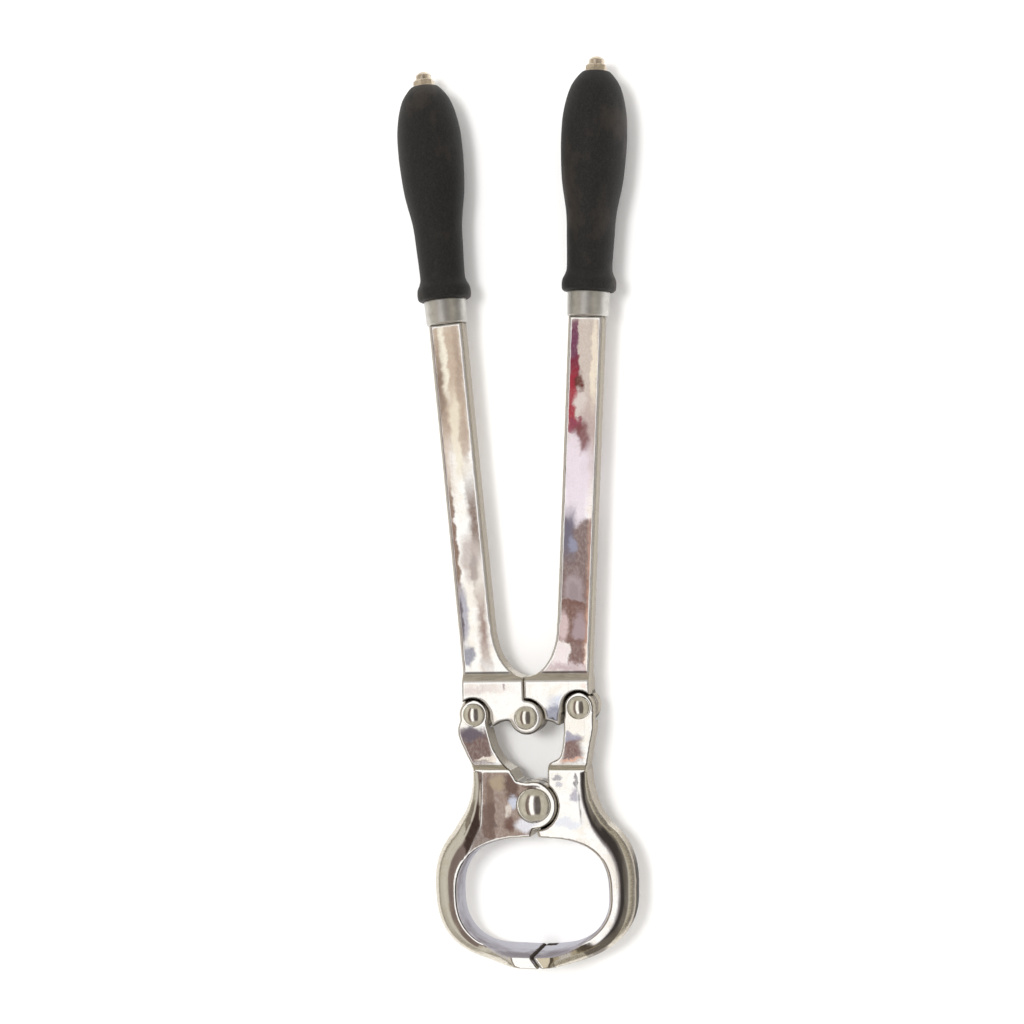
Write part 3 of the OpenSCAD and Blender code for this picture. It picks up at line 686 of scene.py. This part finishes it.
def relax(points, edges, rounds, weight=1.0):
    """Moves each point towards the mean of its neighbours: flat faces stay flat and edges become round."""
    a, b = edges[:, 0], edges[:, 1]
    count = np.bincount(a, minlength=len(points)) + np.bincount(b, minlength=len(points))
    for _ in range(rounds):
        for row in points.T:
            total = np.bincount(a, row[b], len(points)) + np.bincount(b, row[a], len(points))
            row += 0.5 * weight * (total / count - row)


def mark_edges(mesh, edges, moved):
    """Stores how near each point is to an outer edge, which wears, and an inner corner, which gets painted
    shade.
    """
    outwards = (moved * read_normals(mesh)).sum(axis=1)
    for name, amount in (("edge", -outwards), ("corner", outwards)):
        near = np.clip(amount / EDGE_MOVE, 0, 1)[:, None]
        relax(near, edges, MARK_ROUNDS)
        mesh.attributes.new(name, "FLOAT", "POINT").data.foreach_set("value", near.ravel())


def smooth_step(values, low, high):
    share = np.clip((values - low) / (high - low), 0, 1)
    return share * share * (3 - 2 * share)


def forging(node, soft, crown=None):
    """soft and crown say, per point, how much the form is rounded and how far a face sinks inwards."""
    guide = welded_copy(node)
    mesh = fine_mesh(guide)
    bpy.data.objects.remove(guide)
    points, edges = read_points(mesh)
    sharp = points.copy()
    relax(points, edges, EDGE_ROUNDS)
    mark_edges(mesh, edges, points - sharp)
    relax(points, edges, SOFT_ROUNDS, soft(points))
    if crown:
        points[:, 2] = MID_HEIGHT + (points[:, 2] - MID_HEIGHT) * (1 - crown(points))
    write_points(mesh, points)
    waves = np.array([noise.noise(Vector(p) / WAVE_LENGTH) for p in points])
    points += read_normals(mesh) * ((waves - 1) / 2 * WAVE_DEPTH)[:, None]
    write_points(mesh, points)
    add_piece(node + "_forging", mesh, node)


# Where a handle's plate is soft and its bar is crowned, in mm above the centre pin
PLATE_SOFT = (7, 2)
CROWN_FROM = (30, 42)
BAR_CROWN = 0.035
CROWN_MOST = 1.2
BAR_HALF = 9.5


def make_handle(side):
    foot, axis = along_handle(side)
    across = np.array((axis.y, -axis.x, 0))
    pin_y = centre("centre_pin").y
    plate_soft, crown_from = (np.array(heights) * MM + pin_y for heights in (PLATE_SOFT, CROWN_FROM))

    def soft(points):
        return smooth_step(points[:, 1], *plate_soft)

    def crown(points):
        bulge = ((points - np.array(foot)) @ across / (BAR_HALF * MM)) ** 2
        return BAR_CROWN * np.clip(bulge, 0, CROWN_MOST) * smooth_step(points[:, 1], *crown_from)

    forging(side + "_handle", soft, crown)


# Where the ring becomes soft, in mm below the jaw pin and above the tips' end
SOFT_BELOW_PIN = (-8, -18)
SOFT_ABOVE_TIP = (12, 30)


def make_jaw(side):
    below_pin = np.array(SOFT_BELOW_PIN) * MM + centre("jaw_pin").y
    above_tip = np.array(SOFT_ABOVE_TIP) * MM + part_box("left_jaw")[0].y

    def soft(points):
        return smooth_step(points[:, 1], *below_pin) * smooth_step(points[:, 1], *above_tip)

    forging(side + "_jaw", soft)


for side in SIDES:
    make_handle(side)
    make_jaw(side)


# Turned pieces, from profiles of radius and height along their axis, in mm

SEGMENTS = 96
ROUND_STEPS = 4


def rounded(profile, radius):
    """Rounds the corners of a profile, apart from its ends."""
    made = [profile[0]]
    for before, here, after in zip(profile, profile[1:], profile[2:]):
        here = Vector(here)
        back, ahead = Vector(before) - here, Vector(after) - here
        start = here + back.normalized() * min(radius, back.length * 0.45)
        end = here + ahead.normalized() * min(radius, ahead.length * 0.45)
        for i in range(ROUND_STEPS + 1):
            t = i / ROUND_STEPS
            made.append(tuple(start.lerp(here, t).lerp(here.lerp(end, t), t)))
    return made + [profile[-1]]


def turn_mesh(name, profile, limit=None, ring=False):
    """Turns a profile about Z. limit is the greatest radius at an angle; a ring's profile is a loop."""
    verts, faces, rows = [], [], []
    for r, z in profile:
        rows.append(list(range(len(verts), len(verts) + (SEGMENTS if r > 0 else 1))))
        for i in range(len(rows[-1])):
            a = 2 * math.pi * i / SEGMENTS
            reach = min(r, limit(a)) if limit else r
            verts.append((reach * math.cos(a) * MM, reach * math.sin(a) * MM, z * MM))
    pairs = list(zip(rows, rows[1:]))
    if ring:
        pairs.append((rows[-1], rows[0]))
    for low, high in pairs:
        for i in range(SEGMENTS):
            j = (i + 1) % SEGMENTS
            corners = [low[i % len(low)], low[j % len(low)], high[j % len(high)], high[i % len(high)]]
            faces.append(list(dict.fromkeys(corners)))
    mesh = bpy.data.meshes.new(name)
    mesh.from_pydata(verts, [], faces)
    bm = bmesh.new()
    bm.from_mesh(mesh)
    bmesh.ops.recalc_face_normals(bm, faces=bm.faces)
    bm.to_mesh(mesh)
    bm.free()
    return mesh


def turned_piece(node, profile, matrix, limit=None, ring=False):
    mesh = turn_mesh(node, profile, limit, ring)
    mesh.transform(matrix)
    obj = add_piece(node + "_turned", mesh, node)
    obj.modifiers.new("flats", "WEIGHTED_NORMAL").keep_sharp = True


def dome_line(radius, height, top, steps=20):
    """Points of a domed cap from its rim to just before its top."""
    ball = (radius ** 2 + height ** 2) / (2 * height)
    widest = math.asin(radius / ball)
    angles = [widest * (1 - i / steps) for i in range(steps)]
    return [(ball * math.sin(a), top - ball + ball * math.cos(a)) for a in angles]


def hexagon(width):
    """Reach of a hexagon, by angle, from its width across the flats."""
    return lambda a: width / 2 / math.cos((a + math.pi / 6) % (math.pi / 3) - math.pi / 6)


def standing(node):
    """Placement of an upright round node on its foot, and its outer radius and height in mm."""
    low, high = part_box(node)
    foot = Vector(((low.x + high.x) / 2, (low.y + high.y) / 2, low.z))
    return Matrix.Translation(foot), (high.x - low.x) / MM / 2, (high.z - low.z) / MM


# Pins, with a domed head on a short straight band, and what holds them at the back

SMALL_HEAD, SMALL_SHANK = 4, 8
JAW_HEAD, JAW_SHANK = 5.4, 10
SHANK_CHAMFER = 0.6
HEAD_BAND = 1.4
HEAD_STRAIGHT = 0.8 * HEAD_BAND
HEAD_CHAMFER = (0.35, 0.5)
HEAD_ROUND = 0.25
DOME_INSET = 0.12
HOLE_SPARE = 0.05
NUT_MOUTH, NUT_FOOT, NUT_TOP = 0.4, 1.1, 0.5
PAST_CORNER = 0.2


def make_pin(node, head_h, shank_d):
    matrix, head_r, top = standing(node)
    foot, shank_r = top - head_h, shank_d / 2
    dome = dome_line(head_r - DOME_INSET, head_h - HEAD_BAND, top)
    shank_end = [(0, 0), (shank_r - SHANK_CHAMFER, 0)]
    sides = [(shank_r, SHANK_CHAMFER), (shank_r, foot), (head_r - HEAD_CHAMFER[0], foot),
             (head_r, foot + HEAD_CHAMFER[1]), (head_r, foot + HEAD_STRAIGHT), dome[0]]
    turned_piece(node, shank_end + rounded(sides, HEAD_ROUND) + dome[1:] + [(0, top)], matrix)


def make_nut(node, hole_d):
    """The chamfers run past the corners, where the hexagon cuts them."""
    matrix, corner, height = standing(node)
    flat = corner * math.cos(math.pi / 6)
    hole, reach = hole_d / 2 + HOLE_SPARE, corner + PAST_CORNER
    loop = [(hole, NUT_MOUTH), (hole + NUT_MOUTH, 0), (flat - 0.3, 0), (reach, NUT_FOOT),
            (reach, height - NUT_TOP), (flat, height), (hole, height)]
    turned_piece(node, loop, matrix, hexagon(2 * flat), ring=True)


def make_washer(node, hole_d):
    matrix, outer, height = standing(node)
    hole = hole_d / 2 + HOLE_SPARE
    loop = [(hole, height), (hole, 0.15), (hole + 0.15, 0), (outer - 0.3, 0), (outer - 0.08, 0.1),
            (outer, 0.35), (outer, height - 0.2), (outer - 0.2, height)]
    turned_piece(node, loop, matrix, ring=True)


for node in ("left_link_pin", "right_link_pin", "centre_pin"):
    make_pin(node, SMALL_HEAD, SMALL_SHANK)
make_pin("jaw_pin", JAW_HEAD, JAW_SHANK)
for joint in ("left_link", "right_link", "centre", "jaw_pin"):
    shank_d = JAW_SHANK if joint == "jaw_pin" else SMALL_SHANK
    make_washer(joint + "_washer", shank_d)
    make_nut(joint + "_nut", shank_d)


# Grip stack: ferrule, grip, washer and cap nut on each handle's axis

TANG_D, THREAD_D = 8, 6
TANG_HOLE, THREAD_HOLE = TANG_D / 2 + 0.2, THREAD_D / 2 + 0.2
SPIGOT_R, SPIGOT_LEN = 9.9, 10.8
FERRULE_FOOT_R, FERRULE_TOP_R, FERRULE_WALL, FERRULE_FLOOR = 10.9, 11.3, 1.3, 2.2
GRIP_WASHER_R, GRIP_WASHER_T = 6.3, 0.8
CAP_FLAT, CAP_HEX_H, CAP_DOME_H = 5.1, 3.2, 4.5
CAP_NECK_R = 0.82 * CAP_FLAT
CAP_DOME_RISE = 0.52 * CAP_NECK_R

# Grip's outside: share of its length and radius
GRIP_LINE = [
    (0, 13.1), (0.012, 14.3), (0.05, 14.3), (0.085, 12.6), (0.12, 12.1), (0.24, 12.6), (0.36, 13.37),
    (0.5, 16.13), (0.63, 17.25), (0.72, 17.4), (0.8, 16.9), (0.88, 15.2), (0.94, 12.8), (0.98, 9.7),
    (1, 7.5),
]


def curve_through(line, steps):
    """Smooth curve through all points of a line."""
    made = []
    padded = [line[0]] + line + [line[-1]]
    for p, q, r, s in zip(padded, padded[1:], padded[2:], padded[3:]):
        for k in range(steps):
            t = k / steps
            made.append(tuple(
                0.5 * (2 * q[i] + (r[i] - p[i]) * t + (2 * p[i] - 5 * q[i] + 4 * r[i] - s[i]) * t * t
                       + (3 * q[i] - p[i] - 3 * r[i] + s[i]) * t ** 3) for i in range(2)))
    return made + [line[-1]]


def grip_matrix(side):
    """Local Z up the handle's axis and local Y towards the front, from where the grip begins."""
    foot, axis = along_handle(side)
    front = Vector((0, 0, 1))
    turn = Matrix((front.cross(axis), front, axis)).transposed()
    return Matrix.Translation(foot + axis * FERRULE_LEN / 2 * MM) @ turn.to_4x4()


def make_grip(side):
    spigot = [(TANG_HOLE, -SPIGOT_LEN), (SPIGOT_R, -SPIGOT_LEN), (SPIGOT_R, 0)]
    outside = [(r, share * GRIP_LEN) for share, r in curve_through(GRIP_LINE, 6)]
    turned_piece(side + "_grip", spigot + outside + [(TANG_HOLE, GRIP_LEN)], grip_matrix(side), ring=True)


def make_ferrule(side):
    foot_r, top_r, low = FERRULE_FOOT_R, FERRULE_TOP_R, -FERRULE_LEN
    outside = [(TANG_HOLE, low), (foot_r - 0.5, low), (foot_r, low + 0.5), (foot_r + 0.02, low + 1),
               (top_r - 0.1, -1.6), (top_r, -1.1), (top_r, -0.4), (top_r - 0.3, 0)]
    inside = [(top_r - FERRULE_WALL, 0), (top_r - FERRULE_WALL, low + FERRULE_FLOOR),
              (TANG_HOLE, low + FERRULE_FLOOR)]
    turned_piece(side + "_ferrule", outside + inside, grip_matrix(side), ring=True)


def make_grip_washer(side):
    foot, top, r = GRIP_LEN, GRIP_LEN + GRIP_WASHER_T, GRIP_WASHER_R
    loop = [(THREAD_HOLE, foot), (r - 0.15, foot), (r, foot + 0.15), (r, top - 0.2), (r - 0.2, top),
            (THREAD_HOLE, top)]
    turned_piece(side + "_grip_washer", loop, grip_matrix(side), ring=True)


def make_cap_nut(side):
    seat = GRIP_LEN + GRIP_WASHER_T
    shoulder = seat + CAP_HEX_H
    top = shoulder + CAP_DOME_H
    corner = CAP_FLAT / math.cos(math.pi / 6)
    nut = [(0, seat), (CAP_FLAT, seat), (corner, seat + 0.3), (corner + 0.1, shoulder - 0.8),
           (CAP_FLAT - 0.2, shoulder), (CAP_NECK_R + 0.1, shoulder), (CAP_NECK_R, shoulder + 0.2),
           (CAP_NECK_R, top - CAP_DOME_RISE)]
    dome = dome_line(CAP_NECK_R, CAP_DOME_RISE, top, steps=12)[1:] + [(0, top)]
    turned_piece(side + "_cap_nut", nut + dome, grip_matrix(side), hexagon(2 * CAP_FLAT))


for side in SIDES:
    make_grip(side)
    make_ferrule(side)
    make_grip_washer(side)
    make_cap_nut(side)


# Floor, lamp and world

FLOOR_HALF = 4
FLOOR_WHITE = (0.94, 0.94, 0.94)


def make_floor():
    half = FLOOR_HALF
    corners = [(-half, -half, 0), (half, -half, 0), (half, half, 0), (-half, half, 0)]
    mesh = bpy.data.meshes.new("floor")
    mesh.from_pydata(corners, [], [(0, 1, 2, 3)])
    floor = bpy.data.objects.new("floor", mesh)
    bpy.context.scene.collection.objects.link(floor)
    pale = material("floor")
    pale.surface(Base_Color=FLOOR_WHITE, Roughness=0.9)
    mesh.materials.append(pale.owner)


LAMP_AT = Vector((-0.4, 0.3, 2.3))
LAMP_SIZE = 0.6
LAMP_POWER = 26


def make_lamp():
    """A soft lamp that casts the shadow; the metal mirrors the room instead."""
    data = bpy.data.lights.new("key", "AREA")
    data.size = LAMP_SIZE
    data.energy = LAMP_POWER
    lamp = bpy.data.objects.new("key", data)
    bpy.context.scene.collection.objects.link(lamp)
    lamp.location = LAMP_AT
    lamp.rotation_euler = (-LAMP_AT).to_track_quat("-Z", "Y").to_euler()
    lamp.visible_glossy = False


# The room that the metal mirrors, by tilt from straight up towards the right, in degrees
ROOM = [
    (-90, (0.4, 0.37, 0.31)), (-62, (0.66, 0.62, 0.53)), (-46, (0.62, 0.57, 0.48)), (-40, (0.2, 0.15, 0.13)),
    (-25, (0.26, 0.2, 0.18)), (-22, (1.25, 1.24, 1.22)), (-5, (1.25, 1.24, 1.22)), (-1, (0.36, 0.33, 0.34)),
    (8, (0.14, 0.12, 0.115)), (30, (0.15, 0.13, 0.12)), (36, (0.6, 0.56, 0.48)), (62, (0.55, 0.51, 0.43)),
    (78, (0.16, 0.15, 0.14)), (90, (0.2, 0.18, 0.17)),
]
ROOM_END = (0.5, 0.46, 0.39)
ROOM_REACH = (0.62, 0.8)
GROUND = (0.2, 0.18, 0.16)
GROUND_FROM = (0.06, -0.02)
SKY_LIGHT = (0.98, 0.96, 0.93)


def make_world():
    """White for the camera, plain pale light for dull surfaces, and the room for what the metal mirrors."""
    world = bpy.data.worlds.new("world")
    bpy.context.scene.world = world
    sky = Shader(world)
    x, y, z = sky.parts(sky.node("TexCoord").outputs["Generated"])
    tilt = sky.times(sky.math("ARCTAN2", x, z), 180 / math.pi)
    room = ROOM[0][1]
    for (before, _), (after, colour) in zip(ROOM, ROOM[1:]):
        room = sky.mix(sky.between(tilt, before, after), room, colour)
    room = sky.mix(sky.between(sky.absolute(y), *ROOM_REACH), room, ROOM_END)
    room = sky.mix(sky.between(z, *GROUND_FROM), room, GROUND)
    rays = sky.node("LightPath")
    light = sky.mix(rays.outputs["Is Glossy Ray"], SKY_LIGHT, room)
    light = sky.mix(rays.outputs["Is Camera Ray"], light, (1, 1, 1))
    background = sky.nodes["Background"]
    sky.feed(background.inputs["Color"], light)
    sky.feed(background.inputs["Strength"], 1)


make_floor()
make_lamp()
make_world()
bpy.context.scene.view_settings.view_transform = "Standard"
